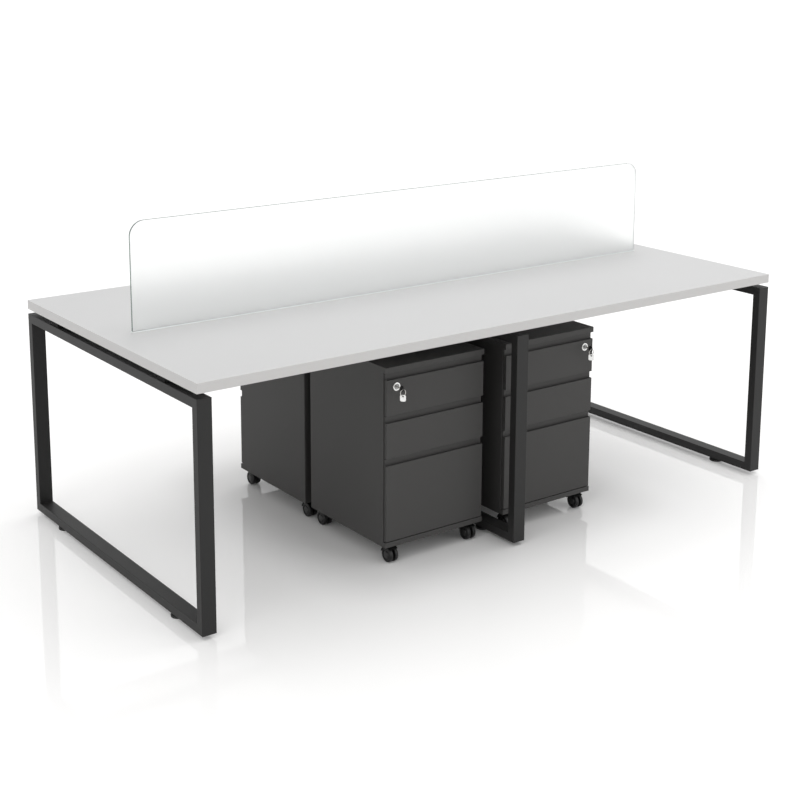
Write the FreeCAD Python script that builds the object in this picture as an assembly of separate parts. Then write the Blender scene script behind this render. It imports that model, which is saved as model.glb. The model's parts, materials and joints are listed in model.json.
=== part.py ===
"""Team desk for four places: one long top on three loop frames, a glass screen
along the middle and four mobile pedestals, back to back in two pairs.

Millimetres, +Z up. The origin lies on the floor under the middle of the top.
X runs along the desk, Y across it, and -Y is the side that the viewer faces.
"""
import FreeCAD, Part
import math
import os

from FreeCAD import Vector

# Top
top_length = 2400.0
top_depth = 1200.0
top_thickness = 32.0
top_edge_radius = 1.5
desk_height = 774.0

# Loop frames: upright rectangles of flat steel tube
loop_tube_width = 48.0
loop_tube_depth = 30.0
loop_wall = 2.0
loop_edge_radius = 1.5

# Longitudinal beams between the loops and the top
beam_width = 50.0
beam_height = 16.0
beam_wall = 2.0
beam_offset = 380.0
beam_end_inset = 5.0

# Levelling feet
foot_height = 14.0
foot_radius = 24.0
foot_rim_height = 8.0
foot_neck_radius = 13.0
foot_nut_height = 3.5
foot_nut_radius = 11.0
foot_inset = 190.0
foot_stem_radius = 4.0
foot_stem_length = 22.0
foot_stem_clearance = 0.2

# Glass screen and the gasket that holds it in the top
screen_length = 2200.0
screen_rise = 355.0
screen_thickness = 8.0
screen_corner_radius = 50.0
screen_arris = 0.8
groove_depth = 15.0
gasket_wall = 3.0
gasket_proud = 3.0
gasket_end_wall = 5.0
gasket_lip_chamfer = 1.2

# Pedestals: gaps to the middle loop, and between the two rows
pedestal_left_gap = 39.0
pedestal_right_gap = 6.0
pair_middle_y = -21.5
pair_gap = 37.0

# Pedestal case
pedestal_width = 400.0
pedestal_depth = 440.0
pedestal_headroom = 78.0
case_bottom = 61.0
sheet = 1.5
bend_radius = 3.0
case_return = 11.0
front_setback = 14.0
lid_height = 19.0
base_height = 17.5
bar_edge_radius = 1.2

# Drawer fronts: the height of each finger lip, and the folded section
drawer_pitch_share = 0.2511
recess_height = 22.7
front_depth = 12.0
front_side_gap = 3.0
front_top_gap = 1.5
front_base_gap = 3.0
lip_depth = 3.0
channel_depth = 12.5
front_edge_radius = 0.8

# Drawer trays
tray_side_inset = 24.0
tray_length = 400.0
tray_bottom_gap = 6.0
tray_top_drop = 22.0
tray_rim = 6.0
tray_back_drop = 12.0
file_rail_height = 12.0
file_rail_thickness = 2.0
file_rail_end_gap = 6.0

# Runners: a channel on the case wall and a nested channel on the tray
runner_height = 16.0
runner_sheet = 1.5
runner_clearance = 0.3
runner_length = 380.0
runner_rise = 24.0
runner_root_gap = 2.0
runner_side_gap = 1.0

# Lock with its key, a split ring and a flat tag
lock_inset = 41.0
lock_drop = 24.3
bezel_radius = 14.0
bezel_height = 3.0
bezel_chamfer = 1.2
plug_radius = 9.0
plug_dish = 1.0
barrel_radius = 8.5
barrel_fit = 0.05
barrel_end_gap = 2.0
cam_length = 12.0
cam_width = 7.0
cam_thickness = 2.0
keyway_width = 2.4
keyway_height = 9.0
keyway_depth = 2.0
key_thickness = 2.0
key_blade_height = 7.0
key_shank = 18.0
key_bow_radius = 10.0
key_hole_radius = 3.0
key_hole_shift = 5.0
split_ring_radius = 11.0
split_ring_wall = 1.6
ring_seat = 0.16
tag_width = 19.0
tag_height = 22.0
tag_thickness = 2.0
tag_corner_radius = 5.0
tag_hole_radius = 3.0
tag_hole_inset = 5.0
tag_turn = 40.0
tag_drop = 1.3

# Twin-wheel casters
stem_inset_x = 38.0
stem_inset_y = 42.0
caster_trail = 14.0
wheel_radius = 25.0
wheel_width = 13.1
wheel_shoulder_radius = 5.0
wheel_inner_radius = 0.8
wheel_dish_radius = 18.5
wheel_dish_depth = 1.8
wheel_hub_radius = 11.0
wheel_hub_drop = 0.4
wheel_slope = 0.9
wheel_gap = 0.4
axle_radius = 3.0
axle_fit = 0.05
fork_web = 8.0
fork_hub_radius = 9.0
cowl_clearance = 1.2
cowl_thickness = 2.2
cowl_chamfer = 0.8
cowl_front_angle = 50.0
cowl_rear_angle = 168.0
stem_radius = 5.5
stem_fit = 0.05
stem_boss_radius = 9.0
stem_boss_drop = 22.0
stem_head_gap = 1.0
socket_wall = 3.0
caster_rail_width = 43.0

# One overrun serves every through cut
overrun = 5.0

# Levels and sizes that follow from the ones above
loop_bottom = foot_height
top_underside = desk_height - top_thickness
loop_top = top_underside - beam_height
groove_width = screen_thickness + 2 * gasket_wall
gasket_length = screen_length + 2 * gasket_end_wall
groove_bottom = desk_height - groove_depth
glass_bottom = groove_bottom + gasket_wall
glass_top = desk_height + screen_rise
loop_xs = (
    -top_length / 2 + loop_tube_width / 2,
    0.0,
    top_length / 2 - loop_tube_width / 2,
)
foot_y = top_depth / 2 - foot_inset
pedestal_left_x = -loop_tube_width / 2 - pedestal_left_gap - pedestal_width
pedestal_right_x = loop_tube_width / 2 + pedestal_right_gap
front_pair_y = pair_middle_y - pair_gap / 2 - pedestal_depth
back_pair_y = pair_middle_y + pair_gap / 2 + pedestal_depth
pedestal_height = top_underside - pedestal_headroom
case_top_bar = pedestal_height - lid_height
case_base_bar = case_bottom + base_height
lip_top = case_top_bar - recess_height
drawer_pitch = drawer_pitch_share * (case_top_bar - case_base_bar)
barrel_length = front_depth - sheet - barrel_end_gap
stem_length = base_height - sheet - stem_head_gap
cowl_radius = wheel_radius + cowl_clearance


def box(x0, x1, y0, y1, z0, z1):
    """A box between two corners."""
    return Part.makeBox(x1 - x0, y1 - y0, z1 - z0, Vector(x0, y0, z0))


def outline(points):
    """A flat face from corner points."""
    return Part.Face(Part.makePolygon([Vector(*p) for p in points] + [Vector(*points[0])]))


def long_edges(shape, axis, wanted):
    """The straight edges along one axis whose middle passes the test."""
    found = []
    for edge in shape.Edges:
        if not isinstance(edge.Curve, Part.Line):
            continue
        first = edge.firstVertex().Point
        last = edge.lastVertex().Point
        along = (last - first).normalize()
        if abs(along.dot(axis)) > 0.999 and wanted((first + last) / 2):
            found.append(edge)
    return found


def near(a, b):
    """True where two places on a drawing agree."""
    return math.isclose(a, b, abs_tol=1e-4)


X_AXIS = Vector(1, 0, 0)
Y_AXIS = Vector(0, 1, 0)
Z_AXIS = Vector(0, 0, 1)


# Top, screen and gasket
def slot_prism(length, width, z0, z1):
    """A round-ended slot along X, centred on the desk."""
    straight = length / 2 - width / 2
    middle = box(-straight, straight, -width / 2, width / 2, z0, z1)
    left = Part.makeCylinder(width / 2, z1 - z0, Vector(-straight, 0, z0))
    right = Part.makeCylinder(width / 2, z1 - z0, Vector(straight, 0, z0))
    return middle.fuse(left).fuse(right).removeSplitter()


def make_tabletop():
    """The board with softened edges and the routed groove for the screen."""
    half_x = top_length / 2
    half_y = top_depth / 2
    board = box(-half_x, half_x, -half_y, half_y, top_underside, desk_height)
    board = board.makeFillet(top_edge_radius, board.Edges)
    groove = slot_prism(gasket_length, groove_width, groove_bottom, desk_height + overrun)
    return board.cut(groove)


def make_gasket():
    """The clear U section, closed at both ends, that stands just proud of the top."""
    gasket_top = desk_height + gasket_proud
    body = slot_prism(gasket_length, groove_width, groove_bottom, gasket_top)
    rim = [e for e in body.Edges if near(e.BoundBox.ZMin, gasket_top)]
    body = body.makeChamfer(gasket_lip_chamfer, rim)
    half_x = screen_length / 2
    half_y = screen_thickness / 2
    pocket = box(-half_x, half_x, -half_y, half_y, glass_bottom, gasket_top + overrun)
    return body.cut(pocket)


def make_glass():
    """The pane: round upper corners, square lower ones, ground edges."""
    half_x = screen_length / 2
    half_y = screen_thickness / 2
    pane = box(-half_x, half_x, -half_y, half_y, glass_bottom, glass_top)

    def upper(p):
        return near(p.z, glass_top)

    corners = long_edges(pane, Y_AXIS, upper)
    pane = pane.makeFillet(screen_corner_radius, corners)

    def arris(edge):
        b = edge.BoundBox
        on_face = near(b.YMin, b.YMax) and near(abs(b.YMin), half_y)
        return on_face and b.ZMin > glass_bottom + gasket_wall

    ground = [e for e in pane.Edges if arris(e)]
    return pane.makeChamfer(screen_arris, ground)


# Frame
def make_loop(centre_x):
    """One welded loop of flat tube, hollow all the way round."""
    half_x = loop_tube_width / 2
    half_y = top_depth / 2
    x0 = centre_x - half_x
    x1 = centre_x + half_x
    d = loop_tube_depth
    w = loop_wall
    ring = box(x0, x1, -half_y, half_y, loop_bottom, loop_top)
    ring = ring.cut(
        box(
            x0 - overrun, x1 + overrun,
            -half_y + d, half_y - d,
            loop_bottom + d, loop_top - d,
        )
    )

    def on_side(edge):
        b = edge.BoundBox
        return near(b.XMin, b.XMax)

    ring = ring.makeFillet(loop_edge_radius, [e for e in ring.Edges if on_side(e)])
    hollow = box(x0 + w, x1 - w, -half_y + w, half_y - w, loop_bottom + w, loop_top - w)
    core = box(
        x0, x1,
        -half_y + d - w, half_y - d + w,
        loop_bottom + d - w, loop_top - d + w,
    )
    ring = ring.cut(hollow.cut(core))
    for y in (-foot_y, foot_y):
        hole = Part.makeCylinder(
            foot_stem_radius + foot_stem_clearance,
            w + overrun,
            Vector(centre_x, y, loop_bottom - overrun),
        )
        ring = ring.cut(hole)
    return ring


def make_beams():
    """Two flat tubes with closed ends that lie on the loops and carry the top."""
    half_x = top_length / 2 - beam_end_inset
    half_w = beam_width / 2
    w = beam_wall
    beams = []
    for y in (-beam_offset, beam_offset):
        tube = box(-half_x, half_x, y - half_w, y + half_w, loop_top, top_underside)
        inner = box(
            -half_x + w, half_x - w,
            y - half_w + w, y + half_w - w,
            loop_top + w, top_underside - w,
        )
        beams.append(tube.cut(inner))
    return Part.makeCompound(beams)


def make_feet():
    """Six levelling feet: disc, hexagon for the spanner and a screw up into the loop."""
    nut_bottom = foot_height - foot_nut_height
    profile = outline(
        [
            (0, 0, 0),
            (foot_radius, 0, 0),
            (foot_radius, 0, foot_rim_height),
            (foot_neck_radius, 0, nut_bottom),
            (foot_stem_radius, 0, nut_bottom),
            (foot_stem_radius, 0, foot_height + foot_stem_length),
            (0, 0, foot_height + foot_stem_length),
        ]
    )
    foot = profile.revolve(Vector(0, 0, 0), Z_AXIS, 360)
    corners = []
    for turn in range(6):
        angle = math.radians(60 * turn)
        corners.append((foot_nut_radius * math.cos(angle), foot_nut_radius * math.sin(angle), nut_bottom))
    nut = outline(corners).extrude(Vector(0, 0, foot_nut_height))
    foot = foot.fuse(nut)
    feet = []
    for x in loop_xs:
        for y in (-foot_y, foot_y):
            placed = foot.copy()
            placed.translate(Vector(x, y, 0))
            feet.append(placed)
    return Part.makeCompound(feet)


# Pedestal pieces, drawn with the drawer side at y = 0 and the left side at x = 0
def make_side():
    """Left side of the case: one sheet with a folded return at the front and at the back."""
    y0 = front_setback
    y1 = pedestal_depth
    side = box(0, case_return, y0, y1, case_bottom, pedestal_height)

    def front_fold(p):
        return near(p.x, 0) and near(p.y, y0)

    def back_fold(p):
        return near(p.x, 0) and near(p.y, y1)

    side = side.makeFillet(bar_edge_radius, long_edges(side, Z_AXIS, front_fold))
    side = side.makeFillet(bend_radius, long_edges(side, Z_AXIS, back_fold))
    room = box(sheet, case_return, y0 + sheet, y1 - sheet, case_bottom, pedestal_height)

    def inner_fold(p):
        return near(p.x, sheet) and near(p.y, y1 - sheet)

    room = room.makeFillet(bend_radius - sheet, long_edges(room, Z_AXIS, inner_fold))
    side = side.cut(room)
    for z0, z1 in ((case_bottom, case_base_bar), (case_top_bar, pedestal_height)):
        side = side.cut(box(sheet, case_return, y0, y0 + sheet, z0, z1))
    return side


def make_back():
    """Flat back panel, lapped inside the returns of the sides."""
    y1 = pedestal_depth - sheet
    return box(bend_radius, pedestal_width - bend_radius, y1 - sheet, y1, case_bottom, pedestal_height)


def front_bar(z0, z1):
    """The hollow folded edge that stands forward over, or under, the drawer fronts."""
    w = pedestal_width
    bar = box(0, w, 0, front_setback, z0, z1)

    def front_edge(p):
        return near(p.y, 0)

    bar = bar.makeFillet(bar_edge_radius, long_edges(bar, X_AXIS, front_edge))
    hollow = box(sheet, w - sheet, sheet, front_setback + overrun, z0 + sheet, z1 - sheet)
    return bar.cut(hollow)


def level_panel(z0, z1):
    """A flat sheet between the sides, from the folded front edge to the back panel."""
    return box(sheet, pedestal_width - sheet, front_setback, pedestal_depth - 2 * sheet, z0, z1)


def make_lid():
    """Top panel with its folded front edge."""
    panel = level_panel(pedestal_height - sheet, pedestal_height)
    return front_bar(case_top_bar, pedestal_height).fuse(panel).removeSplitter()


def make_base():
    """Floor of the case with its folded front edge."""
    panel = level_panel(case_base_bar - sheet, case_base_bar)
    return front_bar(case_bottom, case_base_bar).fuse(panel).removeSplitter()


def stem_places():
    """Caster stems: name, place and which way the wheels trail."""
    near_x = stem_inset_x
    far_x = pedestal_width - stem_inset_x
    near_y = stem_inset_y
    far_y = pedestal_depth - stem_inset_y
    return (
        ("fl", near_x, near_y, -1),
        ("fr", far_x, near_y, -1),
        ("bl", near_x, far_y, 1),
        ("br", far_x, far_y, 1),
    )


def make_caster_rail(centre_y):
    """Open-topped channel across the underside with a socket for each stem."""
    y0 = centre_y - caster_rail_width / 2
    y1 = centre_y + caster_rail_width / 2
    z1 = case_base_bar - sheet
    rail = box(sheet, pedestal_width - sheet, y0, y1, case_bottom, z1)
    rail = rail.cut(
        box(
            sheet - overrun, pedestal_width - sheet + overrun,
            y0 + sheet, y1 - sheet,
            case_bottom + sheet, z1 + overrun,
        )
    )
    bore_radius = stem_radius + stem_fit
    for _, x, y, _ in stem_places():
        if not near(y, centre_y):
            continue
        foot = Vector(x, y, case_bottom)
        rail = rail.fuse(Part.makeCylinder(bore_radius + socket_wall, z1 - case_bottom, foot))
        below = Vector(x, y, case_bottom - overrun)
        rail = rail.cut(Part.makeCylinder(bore_radius, z1 - case_bottom + overrun, below))
    return rail


def drawer_levels():
    """Each drawer: name, underside of the front and top of its finger lip."""
    first = lip_top
    second = lip_top - drawer_pitch
    third = second - drawer_pitch
    return (
        ("top", second + recess_height + front_top_gap, first),
        ("middle", third + recess_height + front_top_gap, second),
        ("file", case_base_bar + front_base_gap, third),
    )


def runner_level(front_bottom):
    """Underside of the runner that the tray carries."""
    return front_bottom + tray_bottom_gap + runner_rise


def make_case_runners():
    """A pair of channels for each drawer, welded to the sides behind the returns."""
    runners = []
    x0 = sheet
    x1 = tray_side_inset - runner_root_gap
    y0 = front_setback + sheet
    y1 = y0 + runner_length
    t = runner_sheet
    for _, front_bottom, _ in drawer_levels():
        z0 = runner_level(front_bottom) - runner_clearance - t
        z1 = z0 + runner_height + 2 * runner_clearance + 2 * t
        channel = box(x0, x1, y0, y1, z0, z1)
        channel = channel.cut(box(x0 + t, x1 + overrun, y0 - overrun, y1 + overrun, z0 + t, z1 - t))
        runners.append(channel)
        mirrored = channel.mirror(Vector(pedestal_width / 2, 0, 0), X_AXIS)
        runners.append(mirrored)
    return runners


def make_case():
    """All the fixed sheet work of one pedestal."""
    left = make_side()
    right = left.mirror(Vector(pedestal_width / 2, 0, 0), X_AXIS)
    pieces = [left, right, make_back(), make_lid(), make_base()]
    for y in (stem_inset_y, pedestal_depth - stem_inset_y):
        pieces.append(make_caster_rail(y))
    return Part.makeCompound(pieces + make_case_runners())


def make_front(bottom, lip, lock_x):
    """Folded drawer front: closed box below, finger channel behind the lip, back wall above it."""
    x0 = front_side_gap
    x1 = pedestal_width - front_side_gap
    back = front_depth
    floor = lip - channel_depth
    crest = lip + recess_height - front_top_gap
    section = outline(
        [
            (x0, 0, bottom),
            (x0, 0, lip),
            (x0, lip_depth, lip),
            (x0, lip_depth, lip - sheet),
            (x0, sheet, lip - sheet),
            (x0, sheet, floor),
            (x0, back - sheet, floor),
            (x0, back - sheet, crest),
            (x0, back, crest),
            (x0, back, bottom),
        ]
    )
    front = section.extrude(Vector(x1 - x0, 0, 0))
    for x in (x0, x1 - sheet):
        front = front.fuse(box(x, x + sheet, sheet, back - sheet, floor, lip))
    front = front.removeSplitter()

    def nose(p):
        return near(p.y, 0) and (near(p.z, lip) or near(p.z, bottom))

    front = front.makeFillet(front_edge_radius, long_edges(front, X_AXIS, nose))
    front = front.cut(
        box(
            x0 + sheet, x1 - sheet,
            sheet, back - sheet,
            bottom + sheet, floor - sheet,
        )
    )
    if lock_x is not None:
        hole = Part.makeCylinder(
            barrel_radius + barrel_fit,
            sheet + 2 * overrun,
            Vector(lock_x, -overrun, lip - lock_drop),
            Y_AXIS,
        )
        front = front.cut(hole)
    return front


def make_tray(bottom, lip):
    """Open tray with a turned-in rim along both sides and a lower back."""
    x0 = tray_side_inset
    x1 = pedestal_width - tray_side_inset
    y0 = front_depth
    y1 = front_depth + tray_length
    z0 = bottom + tray_bottom_gap
    z1 = lip - tray_top_drop
    tray = box(x0, x1, y0, y1, z0, z1)
    rim_x0 = x0 + tray_rim
    rim_x1 = x1 - tray_rim
    tray = tray.cut(box(x0 + sheet, x1 - sheet, y0 + sheet, y1 - sheet, z0 + sheet, z1 - sheet))
    tray = tray.cut(box(rim_x0, rim_x1, y0 + sheet, y1 - sheet, z1 - sheet - overrun, z1 + overrun))
    tray = tray.cut(
        box(
            rim_x0, rim_x1,
            y1 - sheet - overrun, y1 + overrun,
            z1 - tray_back_drop, z1 + overrun,
        )
    )
    return tray


def make_tray_runners(bottom):
    """The moving channel of each runner pair, nested in the one on the case."""
    x0 = case_return + runner_side_gap
    x1 = tray_side_inset
    y0 = front_depth
    y1 = front_setback + sheet + runner_length
    z0 = runner_level(bottom)
    z1 = z0 + runner_height
    t = runner_sheet
    channel = box(x0, x1, y0, y1, z0, z1)
    channel = channel.cut(box(x0 - overrun, x1 - t, y0 - overrun, y1 + overrun, z0 + t, z1 - t))
    return [channel, channel.mirror(Vector(pedestal_width / 2, 0, 0), X_AXIS)]


def make_file_rails(lip):
    """Two strips on edge along the file tray's rims, for hanging files."""
    x0 = tray_side_inset + sheet
    y0 = front_depth + file_rail_end_gap
    y1 = front_depth + tray_length - file_rail_end_gap
    z0 = lip - tray_top_drop
    rail = box(x0, x0 + file_rail_thickness, y0, y1, z0, z0 + file_rail_height)
    return [rail, rail.mirror(Vector(pedestal_width / 2, 0, 0), X_AXIS)]


def make_drawer(name, bottom, lip, lock_x):
    """Front, tray and the two moving runners, which slide as one."""
    pieces = [make_front(bottom, lip, lock_x), make_tray(bottom, lip)]
    if name == "file":
        pieces += make_file_rails(lip)
    return Part.makeCompound(pieces + make_tray_runners(bottom))


def make_plug(axis_x, axis_z):
    """Bezel, dished face, barrel and the cam in the hollow of the front."""
    face = bezel_height - plug_dish
    profile = outline(
        [
            (0, -face, 0),
            (plug_radius, -face, 0),
            (plug_radius + plug_dish, -bezel_height, 0),
            (bezel_radius - bezel_chamfer, -bezel_height, 0),
            (bezel_radius, -bezel_height + bezel_chamfer, 0),
            (bezel_radius, 0, 0),
            (barrel_radius, 0, 0),
            (barrel_radius, barrel_length, 0),
            (0, barrel_length, 0),
        ]
    )
    plug = profile.revolve(Vector(0, 0, 0), Y_AXIS, 360)
    cam = box(
        -cam_width / 2, cam_width / 2,
        barrel_length - cam_thickness, barrel_length,
        -cam_length, 0,
    )
    keyway = box(
        -keyway_width / 2, keyway_width / 2,
        -face - overrun, -face + keyway_depth,
        -keyway_height / 2, keyway_height / 2,
    )
    plug = plug.fuse(cam).cut(keyway)
    plug.translate(Vector(axis_x, 0, axis_z))
    return plug


def flat_key(length):
    """A key on edge: round bow with its hole, and a blade of the given length along +Y."""
    bow = Part.makeCylinder(key_bow_radius, key_thickness, Vector(-key_thickness / 2, 0, 0), X_AXIS)
    hole = Part.makeCylinder(
        key_hole_radius,
        key_thickness + 2 * overrun,
        Vector(-key_thickness / 2 - overrun, -key_hole_shift, 0),
        X_AXIS,
    )
    blade = box(
        -key_thickness / 2, key_thickness / 2,
        0, key_bow_radius + length,
        -key_blade_height / 2, key_blade_height / 2,
    )
    return bow.fuse(blade).cut(hole).removeSplitter()


def flat_tag():
    """A plain tag on edge, round-cornered, drawn about its hole."""
    top = tag_hole_inset
    half_x = tag_thickness / 2
    half_y = tag_width / 2
    tag = box(-half_x, half_x, -half_y, half_y, top - tag_height, top)

    def any_corner(p):
        return True

    tag = tag.makeFillet(tag_corner_radius, long_edges(tag, X_AXIS, any_corner))
    hole = Part.makeCylinder(
        tag_hole_radius,
        tag_thickness + 2 * overrun,
        Vector(-half_x - overrun, 0, 0),
        X_AXIS,
    )
    return tag.cut(hole)


def make_lock(lock_x, lip):
    """Plug, the key in it, and the split ring with a tag hanging from its bow."""
    axis_z = lip - lock_drop
    face = bezel_height - plug_dish
    plug = make_plug(lock_x, axis_z)
    key = flat_key(key_shank + keyway_depth)
    bow_y = -face - key_shank - key_bow_radius
    key.translate(Vector(lock_x, bow_y, axis_z))
    hole_y = bow_y - key_hole_shift
    ring_mid = split_ring_radius - split_ring_wall / 2
    slack = key_hole_radius - split_ring_wall / 2 - ring_seat
    ring_z = axis_z - slack - ring_mid
    half = split_ring_wall / 2
    ring = Part.makeCylinder(split_ring_radius, split_ring_wall, Vector(lock_x, hole_y - half, ring_z), Y_AXIS)
    ring = ring.cut(
        Part.makeCylinder(
            split_ring_radius - split_ring_wall,
            split_ring_wall + 2 * overrun,
            Vector(lock_x, hole_y - half - overrun, ring_z),
            Y_AXIS,
        )
    )
    tag = flat_tag()
    tag.rotate(Vector(0, 0, 0), Z_AXIS, tag_turn)
    tag.translate(Vector(lock_x, hole_y, ring_z - ring_mid - tag_drop))
    return Part.makeCompound([plug, key, ring, tag])


def make_fork(trail):
    """Swivelling body of a caster: web between the wheels, cowl over them, boss and stem."""
    half_web = fork_web / 2
    half_width = half_web + wheel_gap + wheel_width
    centre = Vector(0, trail, wheel_radius)
    reach = cowl_radius + cowl_thickness
    sweep = cowl_rear_angle - cowl_front_angle
    cowl_face = outline(
        [
            (-half_width, cowl_radius, 0),
            (half_width, cowl_radius, 0),
            (half_width, reach - cowl_chamfer, 0),
            (half_width - cowl_chamfer, reach, 0),
            (-half_width + cowl_chamfer, reach, 0),
            (-half_width, reach - cowl_chamfer, 0),
        ]
    )
    cowl = cowl_face.revolve(Vector(0, 0, 0), X_AXIS, sweep)
    cowl.rotate(Vector(0, 0, 0), X_AXIS, cowl_front_angle)
    web_face = outline(
        [
            (-half_web, 0, 0),
            (half_web, 0, 0),
            (half_web, reach, 0),
            (-half_web, reach, 0),
        ]
    )
    web = web_face.revolve(Vector(0, 0, 0), X_AXIS, sweep)
    web.rotate(Vector(0, 0, 0), X_AXIS, cowl_front_angle)
    hub = Part.makeCylinder(fork_hub_radius, fork_web, Vector(-half_web, 0, 0), X_AXIS)
    bore = Part.makeCylinder(
        axle_radius + axle_fit,
        fork_web + 2 * overrun,
        Vector(-half_web - overrun, 0, 0),
        X_AXIS,
    )
    body = cowl.fuse(web).fuse(hub).cut(bore)
    if trail < 0:
        body.rotate(Vector(0, 0, 0), Z_AXIS, 180)
    body.translate(centre)
    boss = Part.makeCylinder(
        stem_boss_radius, stem_boss_drop, Vector(0, 0, case_bottom - stem_boss_drop)
    )
    wheel_room = Part.makeCylinder(
        cowl_radius, 2 * half_width, centre - Vector(half_width, 0, 0), X_AXIS
    )
    boss = boss.cut(wheel_room)
    stem = Part.makeCylinder(stem_radius, stem_length, Vector(0, 0, case_bottom))
    return body.fuse(boss).fuse(stem).removeSplitter()


def make_wheels(trail):
    """Two moulded wheels, dished round a raised hub, and the axle between them."""
    inner = fork_web / 2 + wheel_gap
    outer = inner + wheel_width
    dish = outer - wheel_dish_depth
    hub = outer - wheel_hub_drop
    profile = outline(
        [
            (inner, 0, 0),
            (inner, 0, -wheel_radius),
            (outer, 0, -wheel_radius),
            (outer, 0, -wheel_dish_radius),
            (dish, 0, -wheel_dish_radius + wheel_slope),
            (dish, 0, -wheel_hub_radius - wheel_slope),
            (hub, 0, -wheel_hub_radius),
            (hub, 0, 0),
        ]
    )
    right = profile.revolve(Vector(0, 0, 0), X_AXIS, 360)

    def tread_rim(edge, x):
        b = edge.BoundBox
        return near(b.XMin, x) and near(b.XMax, x) and near(b.ZMax, wheel_radius)

    outer_rim = [e for e in right.Edges if tread_rim(e, outer)]
    inner_rim = [e for e in right.Edges if tread_rim(e, inner)]
    right = right.makeFillet(wheel_shoulder_radius, outer_rim)
    right = right.makeFillet(wheel_inner_radius, inner_rim)
    left = right.mirror(Vector(0, 0, 0), X_AXIS)
    axle = Part.makeCylinder(axle_radius, 2 * inner, Vector(-inner, 0, 0), X_AXIS)
    wheels = Part.makeCompound([left, right, axle])
    wheels.translate(Vector(0, trail, wheel_radius))
    return wheels


def pedestal_pieces(prefix, lock_on_left):
    """Every node of one pedestal, drawn at the origin."""
    lock_x = lock_inset if lock_on_left else pedestal_width - lock_inset
    pieces = {prefix + "_case": make_case()}
    for name, bottom, lip in drawer_levels():
        has_lock = name == "top"
        lock_place = lock_x if has_lock else None
        pieces[prefix + "_drawer_" + name] = make_drawer(name, bottom, lip, lock_place)
        if has_lock:
            pieces[prefix + "_lock"] = make_lock(lock_x, lip)
    for corner, x, y, side in stem_places():
        trail = side * caster_trail
        for part_name, shape in (("fork", make_fork(trail)), ("wheels", make_wheels(trail))):
            shape.translate(Vector(x, y, 0))
            pieces[prefix + "_caster_" + corner + "_" + part_name] = shape
    return pieces


def place_pedestal(pieces, x0, front_y, turned):
    """Stand a pedestal under the desk, the back pair turned to face the far side."""
    for shape in pieces.values():
        if turned:
            shape.rotate(Vector(pedestal_width / 2, 0, 0), Z_AXIS, 180)
        shape.translate(Vector(x0, front_y, 0))


nodes = {
    "tabletop": make_tabletop(),
    "glass_screen": make_glass(),
    "screen_gasket": make_gasket(),
    "loop_frame_left": make_loop(loop_xs[0]),
    "loop_frame_middle": make_loop(loop_xs[1]),
    "loop_frame_right": make_loop(loop_xs[2]),
    "top_beams": make_beams(),
    "levelling_feet": make_feet(),
}

pedestals = (
    ("pedestal_fl", pedestal_left_x, front_pair_y, False, True),
    ("pedestal_fr", pedestal_right_x, front_pair_y, False, False),
    ("pedestal_bl", pedestal_left_x, back_pair_y, True, False),
    ("pedestal_br", pedestal_right_x, back_pair_y, True, True),
)
for prefix, x0, front_y, turned, lock_on_left in pedestals:
    pieces = pedestal_pieces(prefix, lock_on_left)
    place_pedestal(pieces, x0, front_y, turned)
    nodes.update(pieces)

os.makedirs("parts", exist_ok=True)
for name, shape in nodes.items():
    shape.exportStep("parts/" + name + ".step")
    print(name, "valid" if shape.isValid() else "NOT VALID", len(shape.Solids), round(shape.Volume))
print(len(nodes), "nodes")
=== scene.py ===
# %% [markdown]
# # A team desk in Blender
#
# This lesson dresses a four-place office desk that was first drawn as solids. The solids
# give every panel and tube its place and size. Blender adds what solids don't carry: paint,
# laminate, frosted glass, round plastic wheels, small screws and studio light.
#
# The solids arrive in metres, with the floor at z = 0 and the desk's length along X. Each
# one belongs to a moving body, and each new piece has to ride on one of those bodies too.

# %% Load the solids
import json
import math

import bmesh
import bpy
from mathutils import Matrix, Vector


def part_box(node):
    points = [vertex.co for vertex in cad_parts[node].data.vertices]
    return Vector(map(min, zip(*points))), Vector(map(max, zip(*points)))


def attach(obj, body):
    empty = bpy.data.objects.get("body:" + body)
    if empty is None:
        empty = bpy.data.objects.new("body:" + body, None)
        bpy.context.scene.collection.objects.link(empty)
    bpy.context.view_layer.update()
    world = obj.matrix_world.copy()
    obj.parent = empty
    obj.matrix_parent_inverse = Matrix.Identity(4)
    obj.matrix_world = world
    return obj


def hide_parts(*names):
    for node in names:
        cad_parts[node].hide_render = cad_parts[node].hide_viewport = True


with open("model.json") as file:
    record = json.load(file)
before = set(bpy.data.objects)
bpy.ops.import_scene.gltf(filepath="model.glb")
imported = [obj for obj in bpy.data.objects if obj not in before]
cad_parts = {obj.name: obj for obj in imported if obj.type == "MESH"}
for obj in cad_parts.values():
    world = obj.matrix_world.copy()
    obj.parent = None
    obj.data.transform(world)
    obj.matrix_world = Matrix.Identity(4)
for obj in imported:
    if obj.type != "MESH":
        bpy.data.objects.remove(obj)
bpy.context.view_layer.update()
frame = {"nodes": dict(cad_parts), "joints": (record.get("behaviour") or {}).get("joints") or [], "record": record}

# %% [markdown]
# ## The camera
#
# The desk was photographed from the left, a little above eye level, with a long lens. The
# photographer kept upright edges almost parallel by shifting the lens instead of tipping the
# camera. A large shift would push the desk out of any other view that keeps it, so this
# camera shares the work: it tips down a little and shifts a little.

# %% Camera
photo_side = 800
sensor_mm = 36.0
focal_px = 1467.0
camera_place = Vector((-3.067, -4.072, 1.965))
camera_yaw = math.radians(35.22)
camera_pitch = math.radians(11.34)

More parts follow.
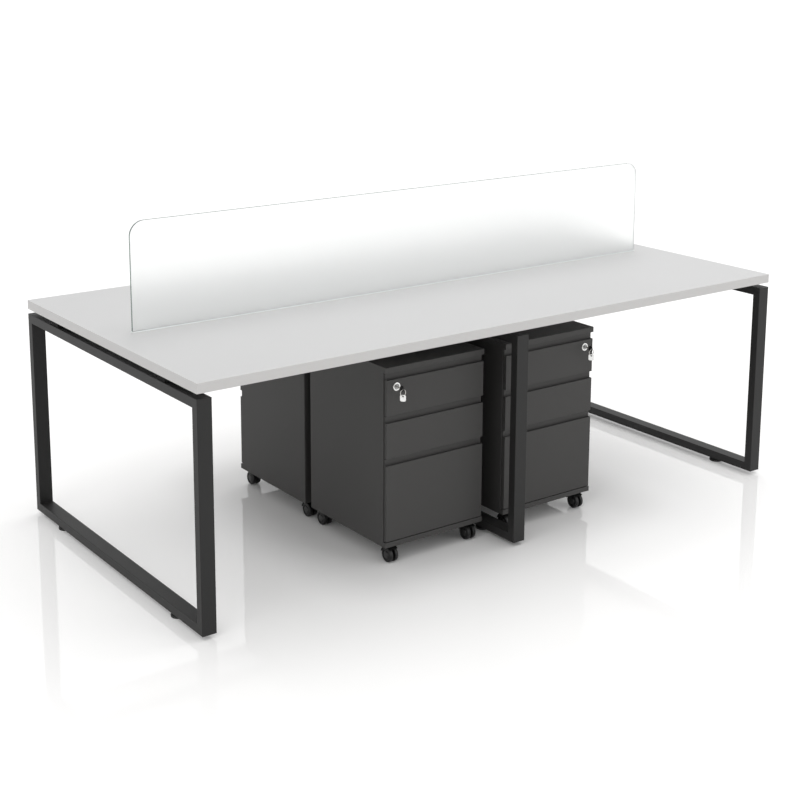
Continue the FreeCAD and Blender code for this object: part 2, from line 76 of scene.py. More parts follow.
camera_data = bpy.data.cameras.new("photo_camera")
camera_data.sensor_width = sensor_mm
camera_data.lens = focal_px * sensor_mm / photo_side
camera_data.shift_x = 0.0397
camera_data.shift_y = -0.2
camera_data.clip_end = 200.0
camera = bpy.data.objects.new("photo_camera", camera_data)
camera.location = camera_place
camera.rotation_euler = (math.pi / 2 - camera_pitch, 0.0, -camera_yaw)
bpy.context.scene.collection.objects.link(camera)
bpy.context.scene.camera = camera
print("lens", round(camera_data.lens, 1), "mm")

# %% [markdown]
# ## A short way to write materials
#
# A Blender material is a graph of nodes. Sums such as "noise times three minus one" need a
# Math node for every sign, which is slow to read in code. The small class below wraps one
# socket, so that ordinary arithmetic adds those Math nodes by itself. Its method `node` adds
# any other node: first its settings, then what goes into its sockets.

# %% Socket arithmetic
class Wire:
    """One output socket of a material, which can be added, multiplied and so on."""

    def __init__(self, tree, socket=None):
        self.tree = tree
        self.socket = socket

    def feed(self, target, value):
        """Links a wire to an input socket, or writes a plain value there."""
        if isinstance(value, Wire):
            self.tree.links.new(value.socket, target)
        else:
            target.default_value = value

    def node(self, kind, settings=None, sockets=None, out=0):
        made = self.tree.nodes.new(kind)
        for name, value in (settings or {}).items():
            setattr(made, name, value)
        for key, value in (sockets or {}).items():
            self.feed(made.inputs[key], value)
        return Wire(self.tree, made.outputs[out])

    def maths(self, operation, first, second=0.0):
        return self.node("ShaderNodeMath", {"operation": operation}, {0: first, 1: second})

    def __add__(self, other):
        return self.maths("ADD", self, other)

    def __radd__(self, other):
        return self.maths("ADD", other, self)

    def __sub__(self, other):
        return self.maths("SUBTRACT", self, other)

    def __rsub__(self, other):
        return self.maths("SUBTRACT", other, self)

    def __mul__(self, other):
        return self.maths("MULTIPLY", self, other)

    def __gt__(self, other):
        return self.maths("GREATER_THAN", self, other)

    def larger(self, other):
        return self.maths("MAXIMUM", self, other)

    def size(self):
        """The value without its sign."""
        return self.maths("ABSOLUTE", self)

    def ramp(self, low, high):
        """0 below low, 1 above high and a smooth step between."""
        settings = {"interpolation_type": "SMOOTHSTEP"}
        return self.node("ShaderNodeMapRange", settings, {0: self, 1: low, 2: high})

    def axes(self):
        """The three shares of a place: along the desk, across it and up."""
        split = self.node("ShaderNodeSeparateXYZ", None, {0: self})
        return [Wire(self.tree, output) for output in split.socket.node.outputs]


def grey(level, warm=0.0):
    """A linear colour from the 0 to 255 level that a screen shows."""
    share = level / 255
    linear = ((share + 0.055) / 1.055) ** 2.4
    return (linear * (1 + warm), linear, linear * (1 - warm), 1.0)


print("a screen grey of 128 is", tuple(round(c, 3) for c in grey(128)))

# %% [markdown]
# ## What all finishes share
#
# Every finish starts the same way: a Principled shader, and the Object coordinates of the
# surface in metres. The solids all keep their origin at the desk's centre, so one pattern
# runs on from piece to piece, and its grains keep their real size.

# %% A blank finish
object_output = 3


def start_finish(name):
    """A new material, its wire, its shader node and its Object coordinates."""
    material = bpy.data.materials.new(name)
    material.use_nodes = True
    tree = material.node_tree
    shader = tree.nodes["Principled BSDF"]
    wire = Wire(tree)
    place = wire.node("ShaderNodeTexCoord", out=object_output)
    return material, wire, shader, place


def noise(wire, place, scale, detail=2.0):
    """Fractal noise, 0 to 1, with this many grains a metre."""
    sockets = {"Vector": place, "Scale": scale, "Detail": detail}
    return wire.node("ShaderNodeTexNoise", None, sockets)


def blend_colours(wire, share, first, second):
    """Mixes two colours with a Mix node, because a Math node would turn them grey."""
    sockets = {"Factor": share, 6: first, 7: second}
    return wire.node("ShaderNodeMix", {"data_type": "RGBA"}, sockets, out=2)


def raise_grain(wire, shader, height, distance, strength):
    """Feeds a height, in metres at 1, through a Bump node into the shader's Normal."""
    sockets = {"Height": height, "Distance": distance, "Strength": strength}
    wire.feed(shader.inputs["Normal"], wire.node("ShaderNodeBump", None, sockets))


print("helpers for finishes ready, finishes so far:", len(bpy.data.materials))

# %% [markdown]
# ## Light grey laminate
#
# The top is a board with a pressed melamine face. Up close such a face has a fine pearl
# grain and slightly uneven gloss. Its edges carry a thin plastic band that is a touch
# warmer. A mask from the coordinates finds the band, so no extra piece is needed.

# %% Laminate for the top
band = 0.0012


def make_laminate():
    material, wire, shader, place = start_finish("grey_laminate")
    top_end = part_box("tabletop")[1]
    along, across, _ = place.axes()
    edge = (along.size() > top_end.x - band).larger(across.size() > top_end.y - band)
    grain = noise(wire, place, 700.0, 3.0)
    cloud = noise(wire, place, 6.0)
    face = blend_colours(wire, grain * 0.7 + cloud * 0.3, grey(203), grey(215))
    colour = blend_colours(wire, edge, face, grey(215, warm=0.012))
    wire.feed(shader.inputs["Base Color"], colour)
    wire.feed(shader.inputs["Roughness"], 0.42 + cloud * 0.08 - edge * 0.06)
    shader.inputs["Specular IOR Level"].default_value = 0.4
    raise_grain(wire, shader, grain, distance=0.0002, strength=0.35)
    return material


laminate = make_laminate()
print("laminate:", len(laminate.node_tree.nodes), "nodes")

# %% [markdown]
# ## Powder coat
#
# The frame and the pedestals are steel under baked powder. Powder melts into a skin with a
# fine orange peel, so the gloss breaks up over a millimetre or two. One function makes both
# paints: the frame's is nearly black, the pedestals' a dark grey.

# %% Powder coat for frame and pedestals
def make_powder_coat(name, level, warm, peel_share, gloss):
    material, wire, shader, place = start_finish(name)
    peel = noise(wire, place, 420.0, 3.0)
    patch = noise(wire, place, 9.0, 3.0)
    darker, lighter = grey(level - 5, warm), grey(level + 5, warm)
    colour = blend_colours(wire, peel * 0.6 + patch * 0.4, darker, lighter)
    wire.feed(shader.inputs["Base Color"], colour)
    wire.feed(shader.inputs["Roughness"], gloss + peel * 0.12 + patch * 0.06)
    shader.inputs["Specular IOR Level"].default_value = 0.35
    raise_grain(wire, shader, peel, distance=0.0006, strength=peel_share)
    return material


frame_paint = make_powder_coat("frame_powder_coat", 31, 0.015, 0.35, 0.42)
case_paint = make_powder_coat("pedestal_powder_coat", 66, 0.025, 0.30, 0.46)
print("paints:", frame_paint.name, "and", case_paint.name)

# %% [markdown]
# ## Glass and its gasket
#
# The screen is float glass with a sandblasted face. Light goes through but is scattered, so
# what stands far behind it melts into white, and only the top close behind its foot still
# shows. Rough transmission does just that. A mask finds the two faces by their distance
# from the pane's middle. What lies between them is the ground rim, which looks green,
# because light runs a long way inside the pane to reach it. The foot of the pane is held in
# a pale plastic gasket, and there the rim stays white.
# Where the pane is held, its rim is painted white instead of green: painted light that lifts the shade of the
# gasket's pocket seen through the glass.

# %% Frosted glass and the gasket
face_skin = 0.0002
above_gasket = 0.001
rim_green = (0.08, 0.13, 0.115, 1.0)
pane_white = (0.988, 1.0, 0.995, 1.0)


def make_frosted_glass():
    material, wire, shader, place = start_finish("frosted_glass")
    speck = noise(wire, place, 1500.0)
    _, across, height = place.axes()
    on_face = across.size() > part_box("glass_screen")[1].y - face_skin
    # Painted light: below the gasket's top the rim is painted white, against the shade of the pocket.
    held = 1 - (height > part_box("screen_gasket")[1].z + above_gasket)
    colour = blend_colours(wire, on_face.larger(held), rim_green, pane_white)
    wire.feed(shader.inputs["Base Color"], colour)
    wire.feed(shader.inputs["Roughness"], 0.12 + on_face * 0.23 + speck * 0.06)
    shader.inputs["IOR"].default_value = 1.45
    shader.inputs["Transmission Weight"].default_value = 1.0
    raise_grain(wire, shader, speck, distance=0.00006, strength=0.3)
    return material


def make_pale_plastic():
    material, wire, shader, place = start_finish("clear_gasket")
    streak = noise(wire, place, 120.0)
    darker, lighter = (0.92, 0.965, 0.955, 1.0), (0.96, 0.99, 0.985, 1.0)
    wire.feed(shader.inputs["Base Color"], blend_colours(wire, streak, darker, lighter))
    wire.feed(shader.inputs["Roughness"], 0.25 + streak * 0.1)
    return material


frosted_glass = make_frosted_glass()
pale_plastic = make_pale_plastic()
print("glass:", len(frosted_glass.node_tree.nodes), "nodes")

# %% [markdown]
# ## Plastic and bright metal
#
# Casters are moulded nylon: satin, nearly black, scuffed a little where they roll. The lock
# is plated and the keys are nickel, both with faint brush marks from polishing.

# %% Nylon and plated metal
def make_nylon(name, level, gloss, shine=0.5):
    material, wire, shader, place = start_finish(name)
    grain = noise(wire, place, 1200.0)
    scuff = noise(wire, place, 60.0, 4.0).ramp(0.55, 0.75)
    colour = blend_colours(wire, scuff * 0.5, grey(level), grey(level + 14))
    wire.feed(shader.inputs["Base Color"], colour)
    wire.feed(shader.inputs["Roughness"], gloss + scuff * 0.12 + grain * 0.05)
    shader.inputs["Specular IOR Level"].default_value = shine
    raise_grain(wire, shader, grain, distance=0.00008, strength=0.2)
    return material


def make_plated(name, darker, lighter, gloss):
    """Metal between two linear colours, each given as red, green and blue."""
    material, wire, shader, place = start_finish(name)
    stretch = wire.node("ShaderNodeMapping", None, {"Vector": place, "Scale": (1.0, 1.0, 12.0)})
    brush = noise(wire, stretch, 500.0, 3.0)
    colour = blend_colours(wire, brush, (*darker, 1.0), (*lighter, 1.0))
    wire.feed(shader.inputs["Base Color"], colour)
    wire.feed(shader.inputs["Roughness"], gloss + brush * 0.12)
    shader.inputs["Metallic"].default_value = 1.0
    raise_grain(wire, shader, brush, distance=0.00004, strength=0.2)
    return material


black_nylon = make_nylon("black_nylon", 12, 0.42, 0.4)
hub_nylon = make_nylon("hub_nylon", 33, 0.30)
foot_plastic = make_nylon("foot_plastic", 16, 0.55)
# The caps' plastic is darker and duller than the casters': partly its own black, partly a painted shade for the
# shadow under the top's overhang.
cap_black_painted_shade = make_nylon("beam_cap_plastic", 10, 0.65, 0.12)
lock_plate = make_plated("plated_lock", (0.62, 0.62, 0.61), (0.78, 0.78, 0.77), 0.16)
key_nickel = make_plated("nickel_key", (0.55, 0.54, 0.51), (0.70, 0.69, 0.66), 0.22)
# The plug's darker finish is partly a duller metal and partly a painted shade for its recessed face and keyway.
plug_dull_painted_shade = make_plated("dull_plug", (0.22, 0.22, 0.22), (0.32, 0.32, 0.32), 0.34)
tag_plate = make_plated("bright_tag", (0.80, 0.80, 0.79), (0.90, 0.90, 0.89), 0.38)
bolt_zinc = make_plated("black_zinc_bolt", (0.06, 0.06, 0.06), (0.10, 0.10, 0.10), 0.3)
print("finishes so far:", len(bpy.data.materials))

# %% [markdown]
# ## Finishes onto the solids
#
# The record names a material slot for every solid. A table turns each slot into one of the
# finishes above. Only the material changes here, and no solid is moved or reshaped.

# %% Give the solids their finishes
finish_of_slot = {
    "top_board": laminate,
    "frosted_glass": frosted_glass,
    "clear_gasket": pale_plastic,
    "frame_paint": frame_paint,
    "case_paint": case_paint,
    "lock_chrome": lock_plate,
    "black_plastic": black_nylon,
    "wheel_nylon": black_nylon,
}
for row in frame["record"]["subparts"]:
    mesh = frame["nodes"][row["node"]].data
    mesh.materials.clear()
    mesh.materials.append(finish_of_slot[row["material_slot"]])
print("finishes set on", len(frame["nodes"]), "solids")

# %% [markdown]
# ## Turning mesh work into a piece
#
# A bmesh is Blender's workbench for shapes. When a shape is done, it becomes a mesh, gets
# its materials, is shaded smooth except at sharp corners, and rides on the body that carries
# it. Its object stays at the origin, and all of its place is in the mesh.

# %% From bmesh to piece
def make_piece(name, bm, materials, body, replaced=(), corner=35.0):
    bmesh.ops.remove_doubles(bm, verts=bm.verts, dist=1e-6)
    bmesh.ops.recalc_face_normals(bm, faces=bm.faces)
    mesh = bpy.data.meshes.new(name)
    bm.to_mesh(mesh)
    bm.free()
    for material in materials:
        mesh.materials.append(material)
    mesh.shade_smooth()
    mesh.set_sharp_from_angle(angle=math.radians(corner))
    piece = bpy.data.objects.new(name, mesh)
    bpy.context.scene.collection.objects.link(piece)
    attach(piece, body)
    if replaced:
        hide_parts(*replaced)


def join_into(target, source, matrix=None):
    """Adds one bmesh to another, moved by a matrix, and frees it."""
    mesh = bpy.data.meshes.new("scratch")
    source.to_mesh(mesh)
    source.free()
    if matrix is not None:
        mesh.transform(matrix)
    target.from_mesh(mesh)
    bpy.data.meshes.remove(mesh)


# %% [markdown]
# ## A lathe and a rod
#
# Most small parts here are round. The lathe takes half of a section, as points in
# millimetres, and spins it about an axis. A full turn closes on itself. A part turn, or an
# outline that doesn't reach the axis, leaves open rims, and the lathe fills them.

# %% Lathe and rod
MM = 0.001
along_x = (1, 0, 0)
along_y = (0, 1, 0)
along_z = (0, 0, 1)
origin = (0, 0, 0)


def lathe(points, axis, steps, centre=origin, closed=False, degrees=360.0):
    bm = bmesh.new()
    verts = [bm.verts.new([share * MM for share in point]) for point in points]
    edges = [bm.edges.new(pair) for pair in zip(verts, verts[1:])]
    if closed:
        edges.append(bm.edges.new((verts[-1], verts[0])))
    bmesh.ops.spin(
        bm, geom=verts + edges, cent=[share * MM for share in centre], axis=axis,
        angle=math.radians(degrees), steps=steps, use_merge=degrees >= 360.0,
    )
    rims = [edge for edge in bm.edges if edge.is_boundary]
    if rims:
        bmesh.ops.holes_fill(bm, edges=rims, sides=0)
    return bm


def turn_upright(profile, steps):
    """Spins a profile of radius and height about Z."""
    return lathe([(r, 0.0, z) for r, z in profile], along_z, steps)


def rod(radius, length, segments):
    """A closed cylinder along X, centred on the origin."""
    bm = bmesh.new()
    bmesh.ops.create_cone(
        bm, cap_ends=True, segments=segments, radius1=radius * MM, radius2=radius * MM,
        depth=length * MM, matrix=Matrix.Rotation(math.pi / 2, 4, "Y"),
    )
    return bm


print("lathe and rod ready, in units of", MM, "m")

# %% [markdown]
# ## Caster wheels
#
# Each caster has two wheels on one axle. The outline of half a section runs from the bore
# over the rounded tread, down into the dish of the outer face and up onto the hub cap.
# Faces on that cap get the hub's lighter plastic.

# %% Wheels
wheel_r = 25.0
wheel_in = 4.4
wheel_out = 17.5
axle_r = 3.0
shoulder_r = 4.6
shoulder_from = wheel_out - 5.0
dish_r = wheel_r - 7.6
dish_drop = 2.8
hub_r = 11.0
hub_drop = 1.2
hub_reach = 12.2
hub_depth = 2.6


def wheel_outline():
    """Half a section of one wheel: along the axle, then out from it, in millimetres."""
    points = [(wheel_in, axle_r), (wheel_in, wheel_r - 1.5), (wheel_in + 0.4, wheel_r - 0.5)]
    points += [(wheel_in + 1.5, wheel_r), (shoulder_from, wheel_r)]
    for degrees in (20, 40, 60, 80):
        turn = math.radians(degrees)
        inward = shoulder_r * (1 - math.cos(turn))
        points.append((shoulder_from + shoulder_r * math.sin(turn), wheel_r - inward))
    points += [(wheel_out - 0.4, dish_r + 1.1), (wheel_out - dish_drop, dish_r)]
    points += [(wheel_out - dish_drop - 0.4, hub_r + 1.4), (wheel_out - hub_drop, hub_r + 0.7)]
    points += [(wheel_out - 0.5, hub_r), (wheel_out - 0.1, hub_r - 3.0), (wheel_out, 0.0)]
    return points


def make_wheels(node):
    bm = bmesh.new()
    for side in (-1, 1):
        wheel = lathe([(side * x, 0.0, -r) for x, r in wheel_outline()], along_x, 48)
        for face in wheel.faces:
            middle = face.calc_center_median() / MM
            outside = side * middle.x > wheel_out - hub_depth
            if outside and math.hypot(middle.y, middle.z) < hub_reach:
                face.material_index = 1
        join_into(bm, wheel)
    join_into(bm, rod(axle_r, 2 * wheel_in, 24))
    bmesh.ops.translate(bm, verts=bm.verts, vec=pivots[node])
    make_piece(node + "_round", bm, [black_nylon, hub_nylon], node, [node])


pivots = {j["child"]: Vector(j["pos_m"]) for j in frame["joints"] if j["type"] == "hinge"}
wheel_nodes = sorted(node for node in frame["nodes"] if node.endswith("_wheels"))
for node in wheel_nodes:
    make_wheels(node)
print("pairs of wheels:", len(wheel_nodes))

# %% [markdown]
# ## Caster forks
#
# The fork is one moulding: a web between the wheels, a cowl that arches over them, and a
# boss that turns on a steel stem under the case. The cowl and the web are part turns of a
# small section about the axle, and the boss is a lathed post that the cowl runs into.

# %% Forks
cowl_in = 26.2
cowl_out = 28.4
cowl_chamfer = 0.9
cowl_from = 50.0
cowl_sweep = 118.0
web_half = 4.0
web_r = cowl_in + 1.0
fork_hub_r = 9.0
trail = 14.0
boss_profile = [
    (0.0, 46.5), (8.0, 46.5), (9.0, 47.5), (9.0, 59.6), (8.2, 60.9), (5.5, 60.9), (5.5, 75.5),
    (0.0, 75.5),
]
cowl_section = [
    (-wheel_out, cowl_in), (-wheel_out, cowl_out - 0.7), (cowl_chamfer - wheel_out, cowl_out),
    (wheel_out - cowl_chamfer, cowl_out), (wheel_out, cowl_out - 0.7), (wheel_out, cowl_in),
]
web_section = [(-web_half, 0.0), (-web_half, web_r), (web_half, web_r), (web_half, 0.0)]


def make_fork(node, axle_y):
    stem = pivots[node]
    bm = bmesh.new()
    for section in (cowl_section, web_section):
        points = [(x, r, 0.0) for x, r in section]
        join_into(bm, lathe(points, along_x, 24, closed=True, degrees=cowl_sweep))
    start = Matrix.Rotation(math.radians(cowl_from), 3, "X")
    bmesh.ops.rotate(bm, verts=bm.verts, cent=origin, matrix=start)
    join_into(bm, rod(fork_hub_r, 2 * web_half, 32))
    bmesh.ops.translate(bm, verts=bm.verts, vec=(0, trail * MM, wheel_r * MM))
    join_into(bm, turn_upright(boss_profile, 32))
    if axle_y < stem.y:
        half_turn = Matrix.Rotation(math.pi, 3, "Z")
        bmesh.ops.rotate(bm, verts=bm.verts, cent=origin, matrix=half_turn)
    bmesh.ops.translate(bm, verts=bm.verts, vec=(stem.x, stem.y, 0.0))
    make_piece(node + "_round", bm, [black_nylon], node, [node])


for node in wheel_nodes:
    make_fork(node.replace("_wheels", "_fork"), pivots[node].y)
print("forks:", len(wheel_nodes))

# %% [markdown]
# ## Locks, keys and tags
#
# The lock is a turned plug in a bezel, so it is spun about the axis that points out of the
# drawer. The key in it has a black moulded bow and a steel blade. A split ring joins the bow
# to a bright tag. These are flat pieces, so each starts as an outline: two circles bridged,
# a strip, or a square with rounded corners. Solidify then gives the outline its thickness.

# %% Lock shapes
bezel_profile = [
    (0.0, -2.0), (2.6, -2.0), (2.9, -1.7), (8.4, -1.9), (9.2, -2.4), (10.0, -3.0), (12.6, -3.0),
    (13.4, -2.7), (13.9, -2.0), (14.0, 0.0), (8.5, 0.0), (8.5, 8.5), (0.0, 8.5),
]
plug_r = 9.4
plate_thickness = 2.0
blade_thickness = 1.6
rubbed_edge = 0.25
sharp_turn = 1.2
bow_r = 10.0
hole_r = 3.0
hole_shift = 5.0
key_shank = 18.0
blade_length = 20.0
ring_r = 10.2
ring_wire = 0.75
ring_lap = 0.95
ring_half = 0.8
ring_seat = 0.16
tag_size = (22.0, 19.0)
tag_corner = 5.0
tag_hole_inset = 5.0
tag_turn = 40.0
tag_drop = 1.3
on_edge = Matrix.Rotation(math.pi / 2, 4, "Y")


def bevel(bm, parts, width, kind, segments):
    bmesh.ops.bevel(
        bm, geom=parts, offset=width * MM, offset_type="OFFSET", affect=kind,
        segments=segments, profile=0.5, material=-1,
    )


def thicken(bm, thickness):
    """Gives a flat shape in the YZ plane its thickness, centred, and rubs its edges down.

    The edges to rub down are those that turn by more than sharp_turn, in radians.
    """
    bm.normal_update()
    bmesh.ops.solidify(bm, geom=bm.faces[:], thickness=thickness * MM)
    lowest = min(v.co.x for v in bm.verts)
    bmesh.ops.translate(bm, verts=bm.verts, vec=(-lowest - thickness / 2 * MM, 0, 0))
    bmesh.ops.recalc_face_normals(bm, faces=bm.faces)
    joined = [edge for edge in bm.edges if len(edge.link_faces) == 2]
    sharp = [edge for edge in joined if edge.calc_face_angle() > sharp_turn]
    bevel(bm, sharp, rubbed_edge, "EDGES", 1)
    return bm


def key_bow():
    """The round moulded head of a key, with its hole."""
    bm = bmesh.new()
    bmesh.ops.create_circle(bm, segments=40, radius=bow_r * MM, matrix=on_edge)
    at_hole = Matrix.Translation((0, -hole_shift * MM, 0)) @ on_edge
    bmesh.ops.create_circle(bm, segments=40, radius=hole_r * MM, matrix=at_hole)
    bmesh.ops.bridge_loops(bm, edges=bm.edges[:])
    return thicken(bm, plate_thickness)


def key_blade():
    """The steel blade along +Y: a strip that steps down to the lock's width."""
    half = [(0.0, 3.5), (0.45, 3.5), (0.55, 2.6), (1.0, 2.6)]
    steps = [(0.0, -3.5)] + half + [(share, -z) for share, z in reversed(half[1:])]
    start = bow_r - 0.6
    bm = bmesh.new()
    bm.faces.new([
        bm.verts.new((0, (start + share * blade_length) * MM, z * MM)) for share, z in steps
    ])
    return thicken(bm, blade_thickness)


def ring_tag():
    """A plain plate with rounded corners, drawn about its hole."""
    bm = bmesh.new()
    height, width = tag_size
    bmesh.ops.create_grid(bm, x_segments=1, y_segments=1, size=0.5)
    bmesh.ops.scale(bm, vec=(height * MM, width * MM, 1), verts=bm.verts)
    bevel(bm, bm.verts[:], tag_corner, "VERTICES", 8)
    to_hole = (height / 2 - tag_hole_inset) * MM
    bmesh.ops.translate(bm, verts=bm.verts, vec=(to_hole, 0, 0))
    bmesh.ops.delete(bm, geom=bm.faces[:], context="FACES_ONLY")
    bmesh.ops.create_circle(bm, segments=36, radius=hole_r * MM)
    bmesh.ops.bridge_loops(bm, edges=bm.edges[:])
    bmesh.ops.transform(bm, matrix=on_edge, verts=bm.verts)
    return thicken(bm, plate_thickness)


print("key bow", 2 * bow_r, "mm wide, split ring", 2 * ring_r, "mm, tag", tag_size, "mm")

# %% [markdown]
# The shapes above are drawn about the lock's own middle, with the drawer's front in the XZ
# plane. One matrix carries them to the real lock, and turns them round for the drawers on
# the far side. A split ring is two turns of wire side by side, made here as two thin rings
# that touch.

# %% Locks in their drawers
bow_y = bezel_profile[0][1] - key_shank - bow_r
hole_y = bow_y - hole_shift
ring_z = ring_half + ring_seat - hole_r - ring_r


def bezel_and_plug():
    bm = lathe([(r, y, 0.0) for r, y in bezel_profile], along_y, 64)
    # The plug's front faces take the darker finish, partly a painted shade of its recess and keyway.
    for face in bm.faces:
        middle = face.calc_center_median() / MM
        if math.hypot(middle.x, middle.z) < plug_r and middle.y < 0:
            face.material_index = 1
    return bm


def ring_turn(layer):
    """One turn of the split ring's wire: -1 for the outer one, 1 for the inner one."""
    centre_y = hole_y + layer * ring_wire * ring_lap
    wire = []
    for step in range(10):
        turn = math.tau * step / 10
        reach = ring_r + ring_wire * math.cos(turn)
        wire.append((reach, centre_y + ring_wire * math.sin(turn), ring_z))
    return lathe(wire, along_y, 56, centre=(0, hole_y, ring_z), closed=True)


def make_lock(node):
    pivot = pivots[node]
    place = Matrix.Translation(pivot)
    if pivot.y > 0:
        place = place @ Matrix.Rotation(math.pi, 4, "Z")
    at_bow = Matrix.Translation((0, bow_y * MM, 0))
    at_tag = Matrix.Translation((0, hole_y * MM, (ring_z - ring_r - tag_drop) * MM))
    at_tag = at_tag @ Matrix.Rotation(math.radians(tag_turn), 4, "Z")

    def add(tail, shapes, matrix, finishes, replaced=(), corner=35.0):
        bm = bmesh.new()
        for shape in shapes:
            join_into(bm, shape, matrix)
        make_piece(node + tail, bm, finishes, node, replaced, corner)

    add("_plug", [bezel_and_plug()], place, [lock_plate, plug_dull_painted_shade], [node])
    add("_key_bow", [key_bow()], place @ at_bow, [black_nylon])
    add("_key_blade", [key_blade()], place @ at_bow, [key_nickel])
    add("_tag", [ring_tag()], place @ at_tag, [tag_plate])
    add("_split_ring", [ring_turn(-1), ring_turn(1)], place, [key_nickel], corner=80.0)


lock_nodes = sorted(node for node in frame["nodes"] if node.endswith("_lock"))
for node in lock_nodes:
    make_lock(node)
print("locks with key, ring and tag:", len(lock_nodes))

# %% [markdown]
# ## Levelling feet
#
# The feet are lathed discs with a neck and a stem that runs up into the tube. They stand
# under the middle of each loop's lower rail, so the loops' boxes give their places along X.

# %% Feet
foot_r = 24.0
foot_y = 410.0
foot_profile = [
    (0, 0), (22.5, 0), (23.6, 0.8), (foot_r, 2.2), (foot_r, 6.4), (23.3, 7.8), (21.5, 8.6),
    (14, 10.2), (12.5, 11), (12.5, 14), (4, 14), (4, 36), (0, 36),
]
loops = [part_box("loop_frame_" + side) for side in ("left", "middle", "right")]
loop_xs = [(low.x + high.x) / 2 for low, high in loops]


def make_feet():
    bm = bmesh.new()
    for x in loop_xs:
        for y in (-foot_y * MM, foot_y * MM):
            join_into(bm, turn_upright(foot_profile, 48), Matrix.Translation((x, y, 0)))
    replaced = ["levelling_feet"]
    make_piece("levelling_feet_round", bm, [foot_plastic], "desk", replaced)


make_feet()
print("feet stand at x =", [round(x, 3) for x in loop_xs])

# %% [markdown]
# ## Bolts and end caps
#
# Large bolts hold the beams to the loops, smaller screws hold the top to the beams, and
# plastic caps close the beams' ends. All of them follow from the beams' box.

# %% Bolts and caps
beam_width = 50.0
rail_depth = 30.0
cap_thickness = 2.0
cap_corner = 2.0
cap_play = 0.6
screw_xs = (-1.0, -0.7, -0.4, 0.4, 0.7, 1.0)
bolt_profile = [(2.6, -2.2), (3.0, -3.4), (5.6, -2.9), (6.8, -1.6), (7.2, 0.0), (0, 0.0)]
screw_profile = [
    (0, -1.2), (1.6, -1.2), (2.2, -2.4), (4.2, -2.0), (5.2, -0.8), (5.4, 0.0), (0, 0),
]
beams_low, beams_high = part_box("top_beams")
beam_y = beams_high.y - beam_width / 2 * MM


def make_bolts():
    bm = bmesh.new()
    under_rail = beams_low.z - rail_depth * MM
    for y in (-beam_y, beam_y):
        for x in loop_xs:
            at_bolt = Matrix.Translation((x, y, under_rail))
            join_into(bm, turn_upright(bolt_profile, 24), at_bolt)
        for x in screw_xs:
            at_screw = Matrix.Translation((x, y, beams_low.z))
            join_into(bm, turn_upright(screw_profile, 20), at_screw)
    make_piece("frame_bolts", bm, [bolt_zinc], "desk")


def make_end_caps():
    bm = bmesh.new()
    beam_height = (beams_high.z - beams_low.z) / MM
    cap_size = Vector((cap_thickness, beam_width - cap_play, beam_height - cap_play)) * MM
    cap_x = beams_high.x + cap_thickness / 2 * MM
    cap_z = (beams_low.z + beams_high.z) / 2
    for x in (-cap_x, cap_x):
        for y in (-beam_y, beam_y):
            cap = bmesh.new()
            bmesh.ops.create_cube(cap, size=1.0)
            bmesh.ops.scale(cap, vec=cap_size, verts=cap.verts)
            corners = [e for e in cap.edges if abs(e.verts[0].co.x - e.verts[1].co.x) > 1e-6]
            bevel(cap, corners, cap_corner, "EDGES", 3)
            join_into(bm, cap, Matrix.Translation((x, y, cap_z)))
    # The caps' very dark finish is partly a painted shade of the top's overhang.
    make_piece("beam_end_caps", bm, [cap_black_painted_shade], "desk")


make_bolts()
make_end_caps()
print("bolts:", 2 * len(loop_xs), "screws:", 2 * len(screw_xs), "caps: 4")

# %% [markdown]
# ## The floor
#
# The photograph has a white, slightly glossy floor that runs on into a white background. The
# floor is one large plane. Camera rays see it a little brighter than its paint, so that it
# meets the white world without a line, and it still takes the desk's shadow and a soft
# mirror image. A faint glow grows with the distance from a square under the desk. It is
# weakest where the photograph's floor is darkest.
# This glow is painted light: it is weakest in the square under the desk, so the floor there carries a painted
# shadow of the desk.

# %% Floor
floor_half = 60.0
# Half the side of the square under the desk where the painted glow is weakest, a painted shadow.
painted_shade_half = 0.5
shaded_white = (0.865, 0.86, 0.852, 1.0)
seen_white = (0.995, 0.99, 0.983, 1.0)


def seen_share(wire):
    """1 for rays the camera sees, straight or by gloss or glass, and 0 for light."""
    path = wire.tree.nodes.new("ShaderNodeLightPath")
    share = Wire(wire.tree, path.outputs["Is Camera Ray"])
    for kind in ("Is Glossy Ray", "Is Transmission Ray"):
        share = share.larger(Wire(wire.tree, path.outputs[kind]))
    return share


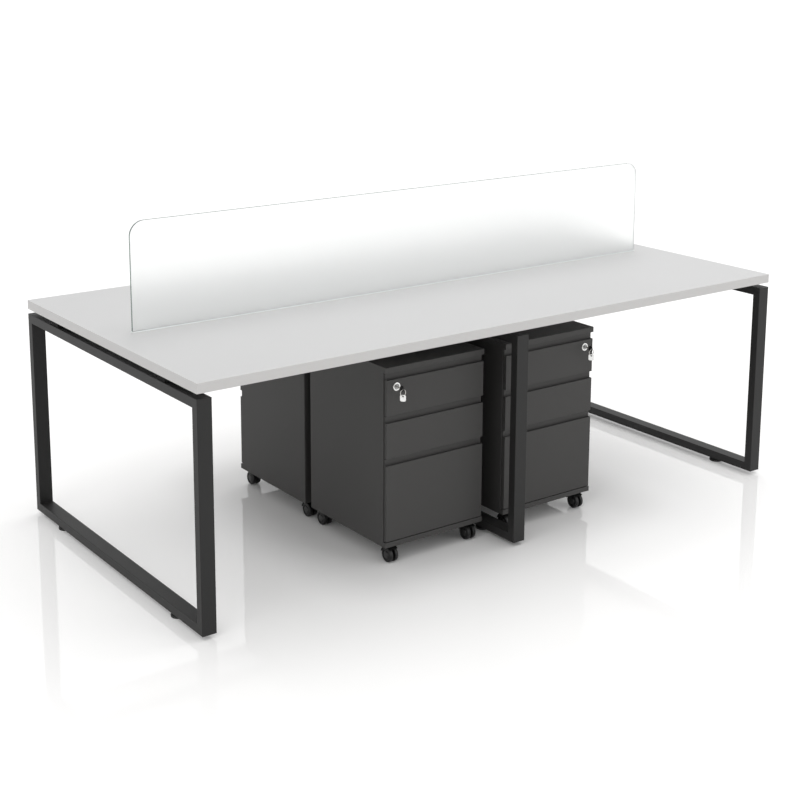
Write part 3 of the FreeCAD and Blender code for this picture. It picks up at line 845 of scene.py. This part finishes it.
def make_floor_paint():
    material, wire, shader, place = start_finish("white_floor")
    haze = noise(wire, place, 3.0)
    seen = seen_share(wire)
    colour = blend_colours(wire, seen - haze * 0.04, shaded_white, seen_white)
    wire.feed(shader.inputs["Base Color"], colour)
    wire.feed(shader.inputs["Roughness"], 0.025 + haze * 0.02)
    shader.inputs["Specular IOR Level"].default_value = 0.5
    # Painted light: the glow grows with the distance from the square under the desk, and that dim square is a
    # painted shadow.
    along, across, _ = place.axes()
    beyond_end = (along.size() - painted_shade_half).larger(0.0)
    beyond_side = (across.size() - painted_shade_half).larger(0.0)
    offset = wire.node("ShaderNodeCombineXYZ", None, {0: beyond_end, 1: beyond_side})
    reach = wire.node("ShaderNodeVectorMath", {"operation": "LENGTH"}, {0: offset}, out=1)
    near = reach.ramp(0.0, 0.3) * 0.38
    middle = reach.ramp(0.3, 0.9) * 0.22
    far = reach.ramp(0.8, 6.0) * 0.34
    lift = 0.06 + near + middle + far
    # The painted glow is seen only by camera, gloss and glass rays.
    glow = blend_colours(wire, seen * lift, (0.0, 0.0, 0.0, 1.0), (1.0, 1.0, 1.0, 1.0))
    wire.feed(shader.inputs["Emission Color"], glow)
    shader.inputs["Emission Strength"].default_value = 0.3
    return material


def make_floor():
    bm = bmesh.new()
    bmesh.ops.create_grid(bm, x_segments=2, y_segments=2, size=floor_half)
    mesh = bpy.data.meshes.new("studio_floor")
    bm.to_mesh(mesh)
    bm.free()
    mesh.materials.append(make_floor_paint())
    floor = bpy.data.objects.new("studio_floor", mesh)
    bpy.context.scene.collection.objects.link(floor)


make_floor()
print("floor:", 2 * floor_half, "m wide")

# %% [markdown]
# ## Light
#
# The light is a pale dome and three large soft boxes, all at a plain level, so that a colour
# renders about as it is written. The dome is white where the camera sees it and a little
# weaker as a lamp, which leaves room for the boxes to shape the desk.

# %% Dome and soft boxes
dome_light = 0.60
dome_seen = 1.0
desk_middle = Vector((0.0, 0.0, 0.5))


def make_dome():
    world = bpy.data.worlds.new("studio_dome")
    bpy.context.scene.world = world
    world.use_nodes = True
    wire = Wire(world.node_tree)
    background = world.node_tree.nodes["Background"]
    background.inputs["Color"].default_value = (1.0, 1.0, 1.0, 1.0)
    strength = seen_share(wire) * (dome_seen - dome_light) + dome_light
    wire.feed(background.inputs["Strength"], strength)


def add_softbox(name, place, width, height, watts):
    light = bpy.data.lights.new(name, "AREA")
    light.shape = "RECTANGLE"
    light.size = width
    light.size_y = height
    light.energy = watts
    lamp = bpy.data.objects.new(name, light)
    lamp.location = place
    aim = desk_middle - Vector(place)
    lamp.rotation_euler = aim.to_track_quat("-Z", "Y").to_euler()
    lamp.visible_camera = False
    bpy.context.scene.collection.objects.link(lamp)


make_dome()
add_softbox("softbox_left", (-7.5, -4.2, 8.0), 6.0, 6.0, 168.0)
add_softbox("softbox_top", (2.6, 0.8, 8.2), 8.0, 8.0, 280.0)
add_softbox("softbox_front", (6.0, -10.0, 4.3), 6.0, 5.0, 153.0)
bpy.context.scene.view_settings.view_transform = "Standard"
print("lamps:", len(bpy.data.lights))
